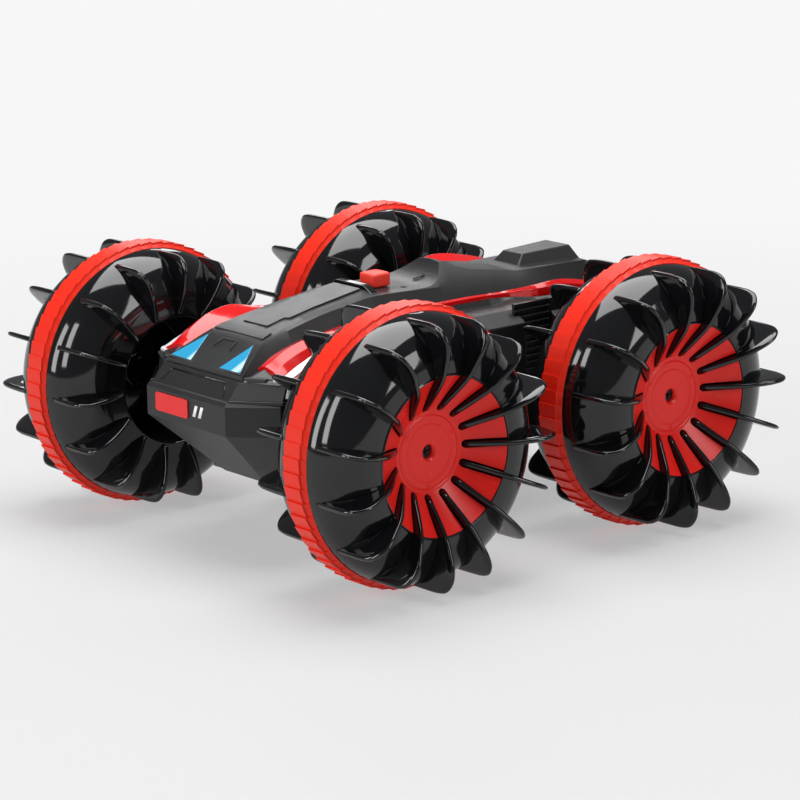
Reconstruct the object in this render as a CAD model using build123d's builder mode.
from build123d import *
import os
from math import acos, atan2, cos, pi, radians, sin, tan

# Radio-controlled stunt car: a faceted two-part hull carrying a sealed gear train on each side,
# and four large bladed wheels that let it drive on either face and paddle through water.
# Millimetres. +X is the car's left side, -Y its nose, +Z up; the origin is on the ground under
# the middle of the car.

os.makedirs("parts", exist_ok=True)

SIDES = {"left": 1, "right": -1}
ENDS = {"front": -1, "rear": 1}
WHEELS = {"fl": (1, -1), "rl": (1, 1), "fr": (-1, -1), "rr": (-1, 1)}
# degrees each wheel has rolled on from a blade standing upright
WHEEL_TURN = {"fl": 6.9, "rl": 8.3, "fr": -3.4, "rr": -2.9}

# ---- driving dimensions: running gear ----
wheel_radius = 55.0
half_wheelbase = 64.0
ring_plane_x = 84.8
axle_height = wheel_radius

# ---- driving dimensions: wheel ----
ring_half_width = 6.1
ring_inner_radius = 50.6
tread_steps = 60
tread_step_height = 0.7
shell_wall = 1.6
blade_count = 15
blade_thickness = 2.2
blade_tip_radius = 52.2
bowl_rim_radius = 52.6
ring_core_half_width = 4.8
dish_rim_radius = 31.1
dish_rim_out = 23.7
hub_face_radius = 15.5
hub_face_out = 13.8
hub_cover_wall = 1.4
hub_tube_radius = 6.0
axle_end_out = hub_face_out - 4.4
inner_recess_radius = 26.0
axle_radius = 2.0
running_gap = 0.05

# ---- driving dimensions: gears, module and width in millimetres ----
chain_module = 1.0
motor_module = 0.6
axle_teeth = 28
idler_teeth = 32
drive_teeth = 36
reduction_small_teeth = 12
reduction_large_teeth = 36
pinion_teeth = 10
pressure_angle = radians(20)
gear_inner_x = 34.0
gear_width = 3.6
large_gear_x = 29.5
large_gear_width = 3.0
pin_radius = 1.5
reduction_bearing = 50.0
pinion_bearing = -60.0

# ---- driving dimensions: hull ----
hull_wall = 1.6
hull_side_x = 41.0
seam_z = 74.0
belly_z = 28.0
skin = 1.2
gear_plate_x = 27.0
gear_plate_thickness = 1.4
chin_tab_centre = (2.0, -75.0)
housing_side_x = 51.0


def wheel_centre(side, end):
    """Middle of a wheel's ring."""
    return (side * ring_plane_x, end * half_wheelbase, axle_height)


def cross_plane(x, y=0.0, z=axle_height):
    """Plane facing +X at x, with its own axes along Y and Z."""
    return Plane(origin=(x, y, z), x_dir=(0, 1, 0), z_dir=(1, 0, 0))


# =====================================================================
# Wheel parts, made once about a wheel centre at the origin, +X outward
# =====================================================================
def radial_plane(angle=0.0):
    """Plane through the wheel axis: its x runs outward along the radius, its y along +X."""
    spoke = (0, -sin(radians(angle)), cos(radians(angle)))
    return Plane(origin=(0, 0, 0), x_dir=spoke, z_dir=(0, spoke[2], -spoke[1]))


def make_tread_ring():
    """Red outer band: a ring whose rim climbs and steps down sixty times round, with a smooth
    bevel beside the steps."""
    half = ring_core_half_width
    low = wheel_radius - tread_step_height
    with BuildPart() as ring:
        with BuildSketch(cross_plane(-half, 0, 0)):
            with BuildLine():
                points = []
                for step in range(tread_steps):
                    start = 2 * pi * step / tread_steps - pi / 2
                    end = 2 * pi * (step + 1) / tread_steps - pi / 2
                    points.append((wheel_radius * cos(start), wheel_radius * sin(start)))
                    points.append((low * cos(end), low * sin(end)))
                Polyline(*points, close=True)
            make_face()
        extrude(amount=2 * half)
        with BuildSketch(radial_plane()):
            with BuildLine():
                Polyline((ring_inner_radius - 1, -ring_half_width),
                         (bowl_rim_radius, -ring_half_width), (low - 0.1, -half),
                         (low - 0.1, half), (bowl_rim_radius, ring_half_width),
                         (ring_inner_radius - 1, ring_half_width), close=True)
            make_face()
        revolve(axis=Axis.X)
        with BuildSketch(cross_plane(-ring_half_width, 0, 0)):
            Circle(ring_inner_radius)
        extrude(amount=2 * ring_half_width, mode=Mode.SUBTRACT)
    return ring.part


def make_outer_shell():
    """Outer half of the wheel: a bowl from the ring to the dish rim, with fifteen blades."""
    rim_out = ring_half_width + running_gap
    with BuildPart() as shell:
        with BuildSketch(radial_plane()):
            with BuildLine():
                outer = ThreePointArc((bowl_rim_radius, rim_out), (48.6, 16.4),
                                      (dish_rim_radius, dish_rim_out))
                Line(outer @ 1, (dish_rim_radius, dish_rim_out - shell_wall - 0.2))
                inner = ThreePointArc((dish_rim_radius, dish_rim_out - shell_wall - 0.2),
                                      (46.6, 15.0), (ring_inner_radius - 1.8, rim_out - 1.0))
                Polyline(inner @ 1, (ring_inner_radius - 1.8, 1.0), (ring_inner_radius - 0.1, 1.0),
                         (ring_inner_radius - 0.1, rim_out), outer @ 0)
            make_face()
        revolve(axis=Axis.X)
        for blade in range(blade_count):
            with BuildSketch(radial_plane(blade * 360 / blade_count)):
                with BuildLine():
                    Polyline((blade_tip_radius, 9.8), (blade_tip_radius - 0.3, 25.8),
                             (50.0, 29.8), (44.8, 32.2), (38.6, 30.8), (29.5, 26.5),
                             (22.0, 20.6), (17.8, 16.4), (17.8, 14.4), (30.6, 22.4),
                             (38.0, 22.2), (47.6, 16.6), (51.0, 10.4), close=True)
                make_face()
        extrude(amount=blade_thickness / 2, both=True)
    return shell.part


def make_hub_cover():
    """Red dish over the hub: a hollow cone with fifteen slots that the blades run into."""
    with BuildPart() as cover:
        with BuildSketch(radial_plane()):
            with BuildLine():
                Polyline((3.0, hub_face_out), (hub_face_radius, hub_face_out),
                         (dish_rim_radius - 0.3, dish_rim_out),
                         (dish_rim_radius - 0.3, dish_rim_out - hub_cover_wall - 0.6),
                         (hub_face_radius + 0.5, hub_face_out - hub_cover_wall),
                         (3.0, hub_face_out - hub_cover_wall), close=True)
            make_face()
        revolve(axis=Axis.X)
        for blade in range(blade_count):
            with BuildSketch(radial_plane(blade * 360 / blade_count)):
                with Locations((25.4, 18.0)):
                    Rectangle(17.6, 14.0)
        extrude(amount=blade_thickness / 2 + 0.4, both=True, mode=Mode.SUBTRACT)
    return cover.part


def make_inner_shell():
    """Inner half of the wheel: the mirrored bowl and blades, a deep well round the axle and
    the hub tube that the axle is keyed into."""
    well_floor = 2.0
    rim_out = ring_half_width + running_gap
    with BuildPart() as shell:
        with BuildSketch(radial_plane()):
            with BuildLine():
                outer = ThreePointArc((bowl_rim_radius, -rim_out), (48.4, -16.0),
                                      (33.0, -23.4))
                Polyline(outer @ 1, (inner_recess_radius + 1.0, -24.8),
                         (inner_recess_radius, -24.0), (inner_recess_radius - 3.0, well_floor),
                         (hub_tube_radius, well_floor), (hub_tube_radius, -18.0),
                         (axle_radius, -18.0), (axle_radius, axle_end_out),
                         (hub_tube_radius, axle_end_out),
                         (hub_tube_radius, well_floor + shell_wall),
                         (inner_recess_radius - 1.6, well_floor + shell_wall),
                         (inner_recess_radius + 1.2, -22.8))
                inner = ThreePointArc((inner_recess_radius + 1.2, -22.8), (45.6, -14.6),
                                      (ring_inner_radius - 1.8, 1.0 - rim_out))
                Polyline(inner @ 1, (ring_inner_radius - 1.8, 0.6), (ring_inner_radius - 0.1, 0.6),
                         (ring_inner_radius - 0.1, -rim_out), outer @ 0)
            make_face()
        revolve(axis=Axis.X)
        for blade in range(blade_count):
            with BuildSketch(radial_plane(blade * 360 / blade_count)):
                with BuildLine():
                    Polyline((blade_tip_radius, -9.8), (blade_tip_radius - 0.3, -24.4),
                             (50.0, -28.2), (45.0, -30.4), (38.6, -29.6), (27.4, -26.4),
                             (27.4, -24.0), (36.0, -21.8), (47.4, -16.2), (51.0, -10.4),
                             close=True)
                make_face()
        extrude(amount=blade_thickness / 2, both=True)
    return shell.part


def make_wheel_screw():
    """Screw that pulls the hub onto the axle's end: a pan head with a cross slot."""
    with BuildPart() as screw:
        with BuildSketch(cross_plane(axle_end_out, 0, 0)):
            Circle(2.7)
        extrude(amount=2.2)
        with BuildSketch(cross_plane(axle_end_out + 2.2, 0, 0)):
            Rectangle(3.6, 0.7)
            Rectangle(0.7, 3.6)
        extrude(amount=-1.2, mode=Mode.SUBTRACT)
    return screw.part


def make_axle():
    """Steel axle: from the inner bearing plate, through the axle gear, to the hub."""
    inner_end = gear_plate_x - ring_plane_x
    with BuildPart() as axle:
        with BuildSketch(cross_plane(inner_end, 0, 0)):
            Circle(axle_radius)
        extrude(amount=axle_end_out - inner_end)
        chamfer(axle.edges().filter_by(GeomType.CIRCLE).sort_by(Axis.X)[0], 0.3)
    return axle.part


wheel_prototypes = {
    "tread_ring": make_tread_ring(),
    "outer_shell": make_outer_shell(),
    "hub_cover": make_hub_cover(),
    "inner_shell": make_inner_shell(),
    "wheel_screw": make_wheel_screw(),
    "axle": make_axle(),
}

for corner, (side, end) in WHEELS.items():
    for piece, prototype in wheel_prototypes.items():
        handed = prototype if side > 0 else prototype.mirror(Plane.YZ)
        with BuildPart() as wheel_piece:
            with Locations(Location(wheel_centre(side, end), (WHEEL_TURN[corner], 0, 0))):
                add(handed)
        wheel_piece.part.label = f"{corner}_{piece}"
        export_step(wheel_piece.part, f"parts/{corner}_{piece}.step")


# =====================================================================
# Gear train, one on each side: motor pinion, reduction pair, drive gear,
# then idlers fore and aft to a gear on each axle
# =====================================================================
def involute_angle(base_radius, radius):
    """Polar angle swept by an involute from its base circle out to radius."""
    pressure = acos(min(1.0, base_radius / radius))
    return tan(pressure) - pressure


def gear_outline(module, teeth, addendum, tooth_bearing, backlash=0.2):
    """Points of a spur gear with involute flanks and one tooth centred on tooth_bearing."""
    pitch_radius = module * teeth / 2
    base_radius = pitch_radius * cos(pressure_angle)
    root_radius = pitch_radius - 1.25 * module
    tip_radius = pitch_radius + addendum * module
    half_tooth = pi / (2 * teeth) - backlash / (2 * pitch_radius)
    half_at_base = half_tooth + involute_angle(base_radius, pitch_radius)
    low = max(base_radius, root_radius)
    flank = [(root_radius, half_at_base - involute_angle(base_radius, low))]
    for share in (0.0, 0.35, 0.7, 1.0):
        radius = low + share * (tip_radius - low)
        flank.append((radius, half_at_base - involute_angle(base_radius, radius)))
    if flank[1][0] - flank[0][0] < 0.01:
        flank.pop(0)
    points = []
    for tooth in range(teeth):
        centre = radians(tooth_bearing) + 2 * pi * tooth / teeth
        for radius, half in flank:
            points.append((radius * cos(centre - half), radius * sin(centre - half)))
        for radius, half in reversed(flank):
            points.append((radius * cos(centre + half), radius * sin(centre + half)))
    return points


def make_gear(side, y, z, teeth, bearing, bore):
    """A gear of the main chain, with a shallow web and a hub round its bore."""
    first_x = gear_inner_x if side > 0 else -gear_inner_x - gear_width
    with BuildPart() as gear:
        with BuildSketch(cross_plane(first_x, y, z)):
            with BuildLine():
                Polyline(*gear_outline(chain_module, teeth, 0.8, bearing), close=True)
            make_face()
            Circle(bore, mode=Mode.SUBTRACT)
        extrude(amount=gear_width)
        web_outer = chain_module * teeth / 2 - 3.0
        for web_x, depth in ((first_x, 0.9), (first_x + gear_width, -0.9)):
            with BuildSketch(cross_plane(web_x, y, z)):
                Circle(web_outer)
                Circle(bore + 2.2, mode=Mode.SUBTRACT)
            extrude(amount=depth, mode=Mode.SUBTRACT)
    return gear.part


def make_reduction(side, y, z):
    """Large motor-side gear and small drive-side gear moulded as one."""
    low_x = min(side * large_gear_x, side * (large_gear_x + large_gear_width))
    small_low_x = gear_inner_x if side > 0 else -gear_inner_x - gear_width
    with BuildPart() as pair:
        with BuildSketch(cross_plane(low_x, y, z)):
            with BuildLine():
                Polyline(*gear_outline(motor_module, reduction_large_teeth, 0.6,
                                       pinion_bearing, 0.14), close=True)
            make_face()
        extrude(amount=large_gear_width)
        with BuildSketch(cross_plane(small_low_x, y, z)):
            with BuildLine():
                Polyline(*gear_outline(chain_module, reduction_small_teeth, 0.9,
                                       reduction_bearing + 180 + 180 / reduction_small_teeth),
                         close=True)
            make_face()
        extrude(amount=gear_width)
        neck_start = side * (large_gear_x + large_gear_width)
        with BuildSketch(cross_plane(neck_start, y, z)):
            Circle(4.2)
        extrude(amount=side * (gear_inner_x - large_gear_x - large_gear_width))
        with BuildSketch(cross_plane(-60, y, z)):
            Circle(pin_radius + running_gap)
        extrude(amount=120, mode=Mode.SUBTRACT)
    return pair.part


def make_pinion(side, y, z):
    """Motor pinion with the motor's shaft pressed through it."""
    low_x = min(side * (large_gear_x - 0.2), side * (large_gear_x + large_gear_width + 0.2))
    with BuildPart() as pinion:
        with BuildSketch(cross_plane(low_x, y, z)):
            with BuildLine():
                Polyline(*gear_outline(motor_module, pinion_teeth, 0.9,
                                       pinion_bearing + 180 + 180 / pinion_teeth, 0.14), close=True)
            make_face()
        extrude(amount=large_gear_width + 0.4)
        with BuildSketch(cross_plane(side * (gear_plate_x - 5.0), y, z)):
            Circle(1.0)
        extrude(amount=side * (large_gear_x - gear_plate_x + 5.0))
    return pinion.part


idler_y = half_wheelbase - chain_module * (axle_teeth + idler_teeth) / 2
reduction_reach = chain_module * (drive_teeth + reduction_small_teeth) / 2
reduction_y = reduction_reach * cos(radians(reduction_bearing))
reduction_z = axle_height + reduction_reach * sin(radians(reduction_bearing))
pinion_reach = motor_module * (reduction_large_teeth + pinion_teeth) / 2
motor_y = reduction_y + pinion_reach * cos(radians(pinion_bearing))
motor_z = reduction_z + pinion_reach * sin(radians(pinion_bearing))
pin_bore = pin_radius + running_gap

for side_name, side in SIDES.items():
    train = {
        "axle_gear_front": make_gear(side, -half_wheelbase, axle_height, axle_teeth, 0, axle_radius),
        "axle_gear_rear": make_gear(side, half_wheelbase, axle_height, axle_teeth, 0, axle_radius),
        "idler_gear_front": make_gear(side, -idler_y, axle_height, idler_teeth,
                                      180 / idler_teeth, pin_bore),
        "idler_gear_rear": make_gear(side, idler_y, axle_height, idler_teeth,
                                     180 / idler_teeth, pin_bore),
        "drive_gear": make_gear(side, 0, axle_height, drive_teeth, 0, pin_bore),
        "reduction_gear": make_reduction(side, reduction_y, reduction_z),
        "motor_pinion": make_pinion(side, motor_y, motor_z),
    }
    for gear_name, gear_part in train.items():
        gear_part.label = f"{side_name}_{gear_name}"
        export_step(gear_part, f"parts/{side_name}_{gear_name}.step")


# =====================================================================
# Hull
# =====================================================================
# Plan outlines of the lower hull, from belly to seam: height, nose half-width and its y,
# side half-width with its first and last y, tail half-width and its y.
hull_levels = [
    (belly_z, 13.0, -76.0, 32.0, -66.0, 66.0, 16.0, 84.0),
    (36.0, 17.0, -84.5, hull_side_x, -76.0, 76.0, 20.0, 92.0),
    (54.0, 25.5, -104.0, hull_side_x, -89.0, 88.0, 24.0, 108.0),
    (67.0, 25.5, -104.0, hull_side_x, -89.0, 88.0, 24.0, 108.0),
    (seam_z, 24.4, -96.0, hull_side_x, -86.0, 86.0, 22.5, 106.5),
]


def plan_outline(level, inset=0.0):
    """Eight corners of one plan outline, drawn inward by inset."""
    z, nose_x, nose_y, side_x, first_y, last_y, tail_x, tail_y = level
    half = [(nose_x - 0.6 * inset, nose_y + inset), (side_x - inset, first_y + 0.6 * inset),
            (side_x - inset, last_y - 0.6 * inset), (tail_x - 0.6 * inset, tail_y - inset)]
    return half + [(-x, y) for x, y in reversed(half)]


# Cross-sections of the upper body from nose to tail. Each row holds y, then half-width and
# height of the roof edge, the crease below it, the foot of the spine, the fender crest, the
# panel's outer edge, the shoulder outside it and the shell's side edge.
body_stations = [
    (-94.7, 24.4, 75.9, 24.7, 75.5, 25.0, 75.4, 25.3, 75.5, 25.6, 75.4, 26.2, 75.35, 26.6, 75.3),
    (-86.0, 20.5, 81.1, 21.3, 80.0, 23.6, 77.9, 27.6, 79.3, 37.0, 76.2, 40.2, 75.6, 41.0, 75.4),
    (-77.7, 16.8, 86.0, 17.8, 84.9, 21.4, 81.0, 30.0, 84.8, 37.0, 79.8, 40.2, 78.6, 41.0, 78.2),
    (-66.0, 15.2, 89.3, 16.6, 88.3, 20.4, 83.8, 32.4, 88.8, 37.4, 84.2, 40.4, 82.6, 41.0, 82.2),
    (-56.0, 13.9, 91.4, 16.1, 90.4, 19.9, 85.3, 33.6, 89.9, 37.6, 85.8, 40.4, 84.6, 41.0, 84.2),
    (-47.0, 12.8, 93.2, 15.7, 92.1, 19.5, 86.6, 28.6, 88.8, 31.0, 87.8, 33.0, 87.0, 41.0, 86.6),
    (-38.0, 11.9, 94.5, 15.5, 93.3, 19.4, 87.4, 22.0, 88.4, 23.8, 88.0, 25.0, 87.6, 41.0, 87.4),
    (-20.0, 10.4, 97.2, 15.4, 95.4, 19.4, 88.6, 22.0, 89.2, 23.6, 88.9, 25.0, 88.6, 41.0, 88.5),
    (21.8, 6.3, 102.2, 16.4, 94.0, 20.2, 88.9, 22.4, 89.4, 24.0, 89.0, 25.2, 88.6, 41.0, 88.5),
    (33.0, 10.6, 98.6, 17.0, 93.4, 20.8, 88.7, 22.8, 89.2, 24.4, 88.9, 25.6, 88.5, 41.0, 88.4),
    (41.0, 11.8, 97.3, 17.5, 92.8, 21.3, 88.3, 25.0, 90.0, 27.0, 89.0, 28.2, 88.5, 41.0, 88.4),
    (47.0, 12.7, 96.4, 17.8, 92.3, 21.6, 88.0, 36.0, 93.4, 38.0, 90.0, 39.6, 89.0, 41.0, 88.8),
    (57.0, 14.2, 94.8, 18.4, 91.6, 22.2, 87.6, 37.8, 94.4, 40.0, 90.2, 40.6, 89.8, 41.0, 89.4),
    (77.0, 15.4, 94.6, 19.0, 89.2, 22.4, 85.4, 37.0, 91.2, 40.0, 87.2, 40.6, 86.8, 41.0, 86.2),
    (96.0, 15.0, 94.0, 17.6, 86.0, 19.8, 82.0, 26.0, 84.6, 29.6, 81.8, 30.6, 81.4, 31.0, 81.0),
    (106.5, 11.6, 86.0, 13.4, 81.6, 15.0, 79.6, 17.8, 80.4, 20.6, 78.8, 21.6, 78.5, 22.0, 78.2),
]


def section_points(row, drop=0.0):
    """Half cross-section as points, with the fender lowered by drop under its skin."""
    points = list(zip(row[1::2], row[2::2]))
    return points[:2] + [(x, z - drop) for x, z in points[2:]]


def mirrored_section(half):
    """Close a half section about the middle plane."""
    return half + [(-x, z) for x, z in reversed(half)]


def cross_section_plane(y):
    """Plane facing -Y at y, with x along X and y along Z."""
    return Plane(origin=(0, y, 0), x_dir=(1, 0, 0), z_dir=(0, -1, 0))


def section_faces(rows):
    """Faces for a loft along the car, from (y, points) pairs."""
    faces = []
    for y, points in rows:
        with BuildSketch(cross_section_plane(y)) as section:
            with BuildLine():
                Polyline(*points, close=True)
            make_face()
        faces.append(section.sketch.faces()[0])
    return faces


floor_z = belly_z + 1.8
door_half_x = 24.0
door_first_y = -48.0
door_last_y = 20.0
door_lip = 2.0

axle_points = [(side, end) for side in SIDES.values() for end in ENDS.values()]
boss_radius = 2.6
boss_tops = {-66.0: 81.8, 68.0: 84.2}
screw_points = [(side * 22.0, y) for side in SIDES.values() for y in boss_tops]
door_screw_points = [(0.0, door_first_y + 4.0), (0.0, door_last_y - 4.0)]

with BuildPart() as lower_hull:
    for level in hull_levels:
        with BuildSketch(Plane.XY.offset(level[0])):
            with BuildLine():
                Polyline(*plan_outline(level), close=True)
            make_face()
    loft(ruled=True)
    inner_levels = [(floor_z,) + hull_levels[0][1:]] + hull_levels[1:4]
    for level in inner_levels:
        with BuildSketch(Plane.XY.offset(level[0])):
            with BuildLine():
                Polyline(*plan_outline(level, hull_wall), close=True)
            make_face()
    with BuildSketch(Plane.XY.offset(seam_z)):
        with BuildLine():
            Polyline(*plan_outline(hull_levels[4], hull_wall), close=True)
        make_face()
    loft(ruled=True, mode=Mode.SUBTRACT)
    with BuildSketch(Plane.XY.offset(belly_z)):
        with Locations((0, (door_first_y + door_last_y) / 2)):
            Rectangle(2 * door_half_x, door_last_y - door_first_y)
    extrude(amount=0.9, mode=Mode.SUBTRACT)
    with BuildSketch(Plane.XY.offset(belly_z)):
        with Locations((0, (door_first_y + door_last_y) / 2)):
            Rectangle(2 * (door_half_x - door_lip), door_last_y - door_first_y - 12)
    extrude(amount=4, mode=Mode.SUBTRACT)
    with BuildSketch(Plane.XY.offset(belly_z)):
        with Locations(*door_screw_points):
            Circle(1.2)
    extrude(amount=4, mode=Mode.SUBTRACT)
    with BuildSketch(Plane.XY.offset(floor_z - 0.1)):
        with Locations(*screw_points):
            Circle(boss_radius)
    extrude(amount=seam_z - floor_z + 0.1)
    with BuildSketch(Plane.XY.offset(belly_z)):
        with Locations(*screw_points):
            Circle(1.3)
    extrude(amount=60, mode=Mode.SUBTRACT)
    for side, end in axle_points:
        with BuildSketch(cross_plane(side * 38.0, end * half_wheelbase)):
            Circle(4.0)
        extrude(amount=side * 6.0, mode=Mode.SUBTRACT)
    with BuildSketch(Plane.XY.offset(belly_z)):
        with Locations(chin_tab_centre):
            Rectangle(9.0, 3.0)
    extrude(amount=-1.0)
lower_hull.part.label = "lower_hull"
export_step(lower_hull.part, "parts/lower_hull.step")

# ---- upper shell: spine, fender seats, switch recess, hooked lip and tail block ----
saddle_z = 95.0
saddle_first_y = -17.0
ramp_first_y = 5.0
ramp_last_y = 21.8
switch_slot = (7.6, 4.0)
knob_centre = (-0.5, -6.8)

with BuildPart() as upper_shell:
    loft(section_faces([(row[0], mirrored_section(section_points(row, skin) + [(row[13], seam_z)]))
                        for row in body_stations]), ruled=True)
    inner_rows = []
    for row in body_stations[1:-1]:
        half = [(x - 1.4, z - 2.0) for x, z in section_points(row, skin)]
        half[6] = (row[13] - hull_wall, max(row[14] - skin - 2.2, seam_z + 0.4))
        half[5] = (half[5][0], max(half[5][1], half[6][1] + 0.1))
        half[4] = (half[4][0], max(half[4][1], half[5][1] + 0.1))
        inner_rows.append((row[0], mirrored_section(half + [(row[13] - hull_wall, seam_z)])))
    loft(section_faces(inner_rows), ruled=True, mode=Mode.SUBTRACT)
    # the recess is filled below its floor, then the floor and its curved ramp are cut
    with BuildSketch(Plane.YZ):
        with BuildLine():
            ramp_end = (ramp_last_y, 102.6)
            Polyline(ramp_end, (saddle_first_y, 102.6), (saddle_first_y, saddle_z),
                     (ramp_first_y, saddle_z))
            ThreePointArc((ramp_first_y, saddle_z), (15.4, 97.2), ramp_end)
        make_face()
    extrude(amount=30, both=True, mode=Mode.SUBTRACT)
    with BuildSketch(Plane.XY.offset(saddle_z)):
        with Locations((0, (saddle_first_y + 18.0) / 2)):
            Rectangle(27.0, 18.0 - saddle_first_y + 2.0)
    extrude(amount=-1.8)
    with BuildSketch(Plane.YZ):
        with BuildLine():
            Polyline((4.0, saddle_z - 1.8), (21.8, 102.2), (24.0, 99.0), (12.0, saddle_z - 1.8),
                     close=True)
        make_face()
    extrude(amount=6.0, both=True)
    with BuildSketch(Plane.YZ):
        with BuildLine():
            Polyline((ramp_last_y, 102.6), (ramp_first_y, 102.6), (ramp_first_y, saddle_z))
            ThreePointArc((ramp_first_y, saddle_z), (15.4, 97.2), (ramp_last_y, 102.6))
        make_face()
    extrude(amount=30, both=True, mode=Mode.SUBTRACT)
    # hooked lip across the front of the recess
    with BuildSketch(cross_section_plane(saddle_first_y - 0.2)):
        with BuildLine():
            Polyline((-13.4, 94.4), (-13.0, 96.0), (-8.6, 98.6), (8.6, 98.6), (13.0, 96.0),
                     (13.4, 94.4), close=True)
        make_face()
    extrude(amount=3.8)
    # tail block with sloped sides
    for z, half_x, first_y, last_y in ((93.6, 8.6, 62.6, 98.0), (99.6, 6.2, 68.4, 94.4)):
        with BuildSketch(Plane.XY.offset(z)):
            with BuildLine():
                Polyline((-half_x, first_y), (half_x, first_y), (half_x + 1.4, last_y),
                         (-half_x - 1.4, last_y), close=True)
            make_face()
    loft(ruled=True)
    # slot that the switch stem slides in
    with BuildSketch(Plane.XY.offset(saddle_z)):
        with Locations((knob_centre[0] + 1.5, knob_centre[1])):
            Rectangle(*switch_slot)
    extrude(amount=-6, mode=Mode.SUBTRACT)
    # bosses that the case screws bite into
    for x, y in screw_points:
        with BuildSketch(Plane.XY.offset(seam_z)):
            with Locations((x, y)):
                Circle(boss_radius)
        extrude(amount=boss_tops[y] - seam_z)
        with BuildSketch(Plane.XY.offset(seam_z)):
            with Locations((x, y)):
                Circle(1.1)
        extrude(amount=3.2, mode=Mode.SUBTRACT)
upper_shell.part.label = "upper_shell"


# ---- headlamp lenses, let into the sloping hood ----
hood_rise = atan2(86.0 - 75.9, 94.7 - 77.7)
hood_plane = Plane(origin=(0, -94.7, 75.9), x_dir=(1, 0, 0),
                   z_dir=(0, -sin(hood_rise), cos(hood_rise)))
lens_depth = 0.9


def lens_outline(side):
    """Corners of one triangular lens on the hood: tip, outer foot and inner foot."""
    return [(side * 14.6, 16.0), (side * 22.6, 1.2), (side * 9.6, 1.0)]


with BuildPart() as lamp_pockets:
    for side in SIDES.values():
        with BuildSketch(hood_plane):
            with BuildLine():
                Polyline(*lens_outline(side), close=True)
            make_face()
    extrude(amount=-lens_depth)
headlamps = lamp_pockets.part
headlamps.label = "headlamps"
export_step(headlamps, "parts/headlamps.step")

with BuildPart() as upper_shell_cut:
    add(upper_shell.part)
    add(headlamps, mode=Mode.SUBTRACT)
upper_shell_cut.part.label = "upper_shell"
export_step(upper_shell_cut.part, "parts/upper_shell.step")

# ---- gloss side panels and pale trim strips on the fenders ----
panel_stations = body_stations[1:-1]
trim_station_count = 4


def fender_strip(side, first, last, rows):
    """Strip of skin lying on the fender between two of its section points."""
    strips = []
    for row in rows:
        top = list(zip(row[1::2], row[2::2]))[first:last + 1]
        under = [(x, z - skin) for x, z in reversed(top)]
        strips.append((row[0], [(side * x, z) for x, z in top + under]))
    return strips


for side_name, side in SIDES.items():
    with BuildPart() as side_panel:
        loft(section_faces(fender_strip(side, 2, 4, panel_stations)), ruled=True)
    side_panel.part.label = f"side_panel_{side_name}"
    export_step(side_panel.part, f"parts/side_panel_{side_name}.step")

with BuildPart() as trim_left:
    loft(section_faces(fender_strip(1, 4, 5, panel_stations[:trim_station_count])), ruled=True)
with BuildPart() as trim_strips:
    add(trim_left.part)
    add(trim_left.part.mirror(Plane.YZ))
trim_strips.part.label = "trim_strips"
export_step(trim_strips.part, "parts/trim_strips.step")

# ---- blank plate on the nose ----
with BuildPart() as nose_badge:
    with BuildSketch(cross_section_plane(-104.0)):
        with Locations((-8.6, 60.6)):
            Rectangle(21.0, 7.4)
    extrude(amount=0.6)
    fillet(nose_badge.edges().filter_by(Axis.Y), 1.2)
nose_badge.part.label = "nose_badge"
export_step(nose_badge.part, "parts/nose_badge.step")

# ---- battery door in the belly ----
with BuildPart() as battery_door:
    with BuildSketch(Plane.XY.offset(belly_z)):
        with Locations((0, (door_first_y + door_last_y) / 2)):
            Rectangle(2 * door_half_x - 0.6, door_last_y - door_first_y - 0.6)
    extrude(amount=0.85)
    with BuildSketch(Plane.XY.offset(belly_z + 0.85)):
        with Locations((0, (door_first_y + door_last_y) / 2)):
            Rectangle(2 * (door_half_x - door_lip) - 0.6, door_last_y - door_first_y - 12.6)
    extrude(amount=1.2)
    with BuildSketch(Plane.XY.offset(belly_z)):
        with Locations(*door_screw_points):
            Circle(1.2)
    extrude(amount=4, mode=Mode.SUBTRACT)
battery_door.part.label = "battery_door"
export_step(battery_door.part, "parts/battery_door.step")


def screw_solid(x, y, head_z, shank_radius, shank_length):
    """Screw with a flat round head at head_z and a plain shank rising from it."""
    with BuildPart() as screw:
        with BuildSketch(Plane.XY.offset(head_z)):
            with Locations((x, y)):
                Circle(shank_radius)
        extrude(amount=shank_length)
    return screw.part


with BuildPart() as case_screws:
    for x, y in screw_points:
        add(screw_solid(x, y, belly_z + 9.0, 1.1, seam_z - belly_z - 9.0 + 3.0))
    for x, y in door_screw_points:
        add(screw_solid(x, y, belly_z + 0.1, 1.1, 4.5))
case_screws.part.label = "case_screws"
export_step(case_screws.part, "parts/case_screws.step")

# ---- sealing ring in the seam between hull and shell ----
with BuildPart() as hull_gasket:
    with BuildSketch(Plane.XY.offset(seam_z - 1.2)):
        with BuildLine():
            Polyline(*plan_outline(hull_levels[4], hull_wall + 0.35), close=True)
        make_face()
        with BuildLine():
            Polyline(*plan_outline(hull_levels[4], hull_wall + 1.35), close=True)
        make_face(mode=Mode.SUBTRACT)
    extrude(amount=1.2)
hull_gasket.part.label = "hull_gasket"
export_step(hull_gasket.part, "parts/hull_gasket.step")

# =====================================================================
# Insides: bearing plates, pins, bushes, seals, motors and electrics
# =====================================================================
wall_x = hull_side_x - hull_wall
gear_centres = [(-idler_y, axle_height, wall_x), (0.0, axle_height, wall_x),
                (idler_y, axle_height, wall_x), (reduction_y, reduction_z, 37.9)]
bush_radius = 3.4
plate_bottom_z = 38.0
plate_top_z = 72.0

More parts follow.
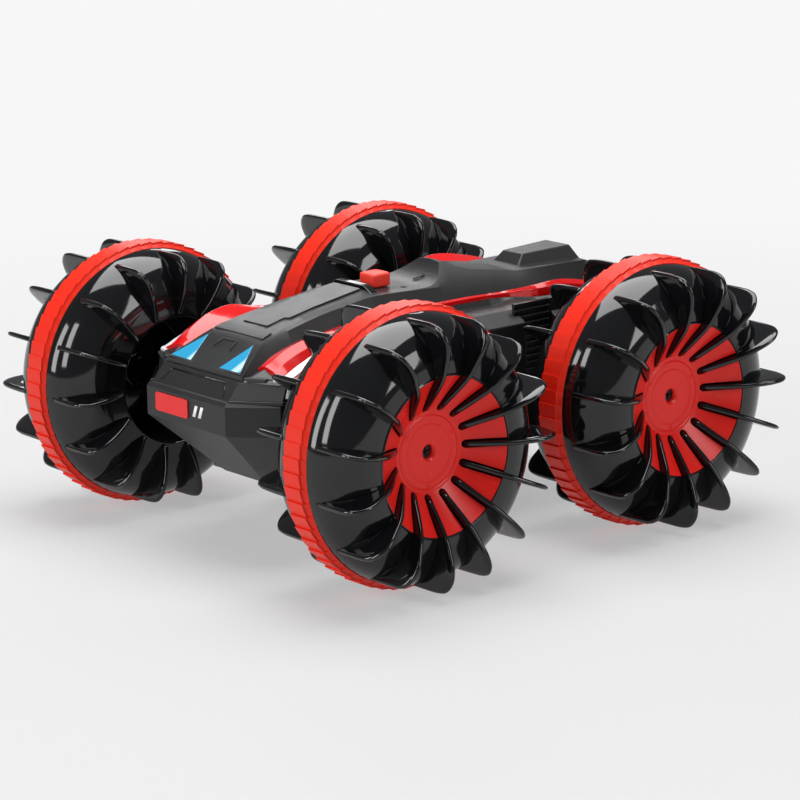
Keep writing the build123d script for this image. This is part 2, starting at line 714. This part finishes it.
for side_name, side in SIDES.items():
    with BuildPart() as gear_plate:
        with BuildSketch(cross_plane(side * gear_plate_x, 0, (plate_bottom_z + plate_top_z) / 2)):
            Rectangle(2 * half_wheelbase + 14.0, plate_top_z - plate_bottom_z)
        extrude(amount=side * gear_plate_thickness)
        with BuildSketch(cross_plane(side * gear_plate_x)):
            with Locations((half_wheelbase, 0), (-half_wheelbase, 0)):
                Circle(bush_radius)
        extrude(amount=side * gear_plate_thickness, mode=Mode.SUBTRACT)
        with BuildSketch(cross_plane(side * gear_plate_x, motor_y, motor_z)):
            Circle(1.4)
        extrude(amount=side * gear_plate_thickness, mode=Mode.SUBTRACT)
    gear_plate.part.label = f"gear_plate_{side_name}"
    export_step(gear_plate.part, f"parts/gear_plate_{side_name}.step")

    with BuildPart() as motor:
        with BuildSketch(cross_plane(side * (gear_plate_x - 22.0), motor_y, motor_z)):
            Circle(9.8)
        extrude(amount=side * 22.0)
        with BuildSketch(cross_plane(side * (gear_plate_x - 24.0), motor_y, motor_z)):
            Circle(3.0)
        extrude(amount=side * 2.0)
        with BuildSketch(cross_plane(side * (gear_plate_x - 6.0), motor_y, motor_z)):
            Circle(1.0 + running_gap)
        extrude(amount=side * 6.0, mode=Mode.SUBTRACT)
    motor.part.label = f"motor_{side_name}"
    export_step(motor.part, f"parts/motor_{side_name}.step")

with BuildPart() as gear_pins:
    for side in SIDES.values():
        for pin_y, pin_z, pin_end in gear_centres:
            with BuildSketch(cross_plane(side * (gear_plate_x + gear_plate_thickness),
                                         pin_y, pin_z)):
                Circle(pin_radius)
            extrude(amount=side * (pin_end - gear_plate_x - gear_plate_thickness))
gear_pins.part.label = "gear_pins"
export_step(gear_pins.part, "parts/gear_pins.step")

# ---- axle housings: four boxes outside the hull that carry the outer bushes ----
housing_spans = {"front": (-83.0, 31.0), "rear": (50.0, 84.0)}
housing_wall = 1.5
housing_profile = [(hull_side_x, 89.2), (45.0, 89.2), (housing_side_x, 83.4),
                   (housing_side_x, 32.0), (45.0, 27.0), (hull_side_x, 36.4)]


def housing_inner(profile, wall):
    """The housing profile drawn inward by its wall, open towards the hull."""
    return [(profile[0][0], profile[0][1] - wall), (profile[1][0] - 0.4, profile[1][1] - wall),
            (profile[2][0] - wall, profile[2][1] - 0.5), (profile[3][0] - wall, profile[3][1] + 0.8),
            (profile[4][0] - 0.2, profile[4][1] + wall + 0.8), (profile[5][0], profile[5][1] + wall)]


with BuildPart() as axle_housings:
    for side in SIDES.values():
        for first_y, last_y in housing_spans.values():
            with BuildSketch(cross_section_plane(last_y)):
                with BuildLine():
                    Polyline(*[(side * x, z) for x, z in housing_profile], close=True)
                make_face()
            extrude(amount=last_y - first_y)
            with BuildSketch(cross_section_plane(last_y - housing_wall)):
                with BuildLine():
                    Polyline(*[(side * x, z) for x, z in housing_inner(housing_profile,
                                                                      housing_wall)], close=True)
                make_face()
            extrude(amount=last_y - first_y - 2 * housing_wall, mode=Mode.SUBTRACT)
    for side, end in axle_points:
        with BuildSketch(cross_plane(side * (hull_side_x + 2.0), end * half_wheelbase)):
            Circle(bush_radius)
        extrude(amount=side * 12.0, mode=Mode.SUBTRACT)
axle_housings.part.label = "axle_housings"
export_step(axle_housings.part, "parts/axle_housings.step")


def ring_solid(x, y, length, outer, inner):
    """Plain ring along X from x."""
    with BuildPart() as ring:
        with BuildSketch(cross_plane(x, y)):
            Circle(outer)
            Circle(inner, mode=Mode.SUBTRACT)
        extrude(amount=length)
    return ring.part


with BuildPart() as axle_bushes:
    for side, end in axle_points:
        y = end * half_wheelbase
        add(ring_solid(side * (housing_side_x - 3.0), y, side * 3.6, bush_radius,
                       axle_radius + running_gap))
        add(ring_solid(side * gear_plate_x, y, side * (gear_plate_thickness + 1.6), bush_radius,
                       axle_radius + running_gap))
axle_bushes.part.label = "axle_bushes"
export_step(axle_bushes.part, "parts/axle_bushes.step")

with BuildPart() as axle_seals:
    for side, end in axle_points:
        add(ring_solid(side * (hull_side_x - hull_wall), end * half_wheelbase, side * 2.4, 4.0,
                       axle_radius + running_gap))
axle_seals.part.label = "axle_seals"
export_step(axle_seals.part, "parts/axle_seals.step")

# ---- battery pack, circuit board and slide switch ----
with BuildPart() as battery_pack:
    with BuildSketch(Plane.XY.offset(belly_z + 4.2)):
        with Locations((0, -16.0)):
            RectangleRounded(42.0, 52.0, 3.0)
    extrude(amount=17.0)
battery_pack.part.label = "battery_pack"
export_step(battery_pack.part, "parts/battery_pack.step")

board_z = 70.0
with BuildPart() as circuit_board:
    with BuildSketch(Plane.XY.offset(board_z)):
        with Locations((0, -22.0)):
            Rectangle(44.0, 52.0)
    extrude(amount=1.6)
    with BuildSketch(Plane.XY.offset(board_z + 1.6)):
        with Locations((-8.0, -34.0)):
            Rectangle(12.0, 12.0)
        with Locations((12.0, -30.0)):
            Rectangle(8.0, 6.0)
        with Locations((10.0, -40.0)):
            Circle(3.0)
    extrude(amount=2.4)
circuit_board.part.label = "circuit_board"
export_step(circuit_board.part, "parts/circuit_board.step")

switch_top_z = 91.6
stem_half = (1.4, 1.6)
with BuildPart() as slide_switch:
    with BuildSketch(Plane.XY.offset(board_z + 1.6)):
        with Locations((knob_centre[0] + 1.5, knob_centre[1])):
            Rectangle(14.0, 6.4)
    extrude(amount=switch_top_z - board_z - 1.6)
    with BuildSketch(Plane.XY.offset(switch_top_z)):
        with Locations((knob_centre[0] + 1.5, knob_centre[1])):
            Rectangle(switch_slot[0], switch_slot[1])
    extrude(amount=-3.4, mode=Mode.SUBTRACT)
slide_switch.part.label = "slide_switch"
export_step(slide_switch.part, "parts/slide_switch.step")

knob_size = 9.6
knob_top_z = 101.2
with BuildPart() as switch_knob:
    with BuildSketch(Plane.XY.offset(saddle_z + 0.35)):
        with Locations(knob_centre):
            Rectangle(knob_size, knob_size)
    extrude(amount=knob_top_z - saddle_z - 0.35)
    fillet(switch_knob.edges().filter_by(Axis.Z), 1.6)
    fillet(switch_knob.faces().sort_by(Axis.Z)[-1].edges(), 0.9)
    with BuildSketch(Plane.XY.offset(switch_top_z - 3.0)):
        with Locations(knob_centre):
            Rectangle(2 * stem_half[0], 2 * stem_half[1])
    extrude(amount=saddle_z + 1.0 - switch_top_z + 3.0)
switch_knob.part.label = "switch_knob"
export_step(switch_knob.part, "parts/switch_knob.step")
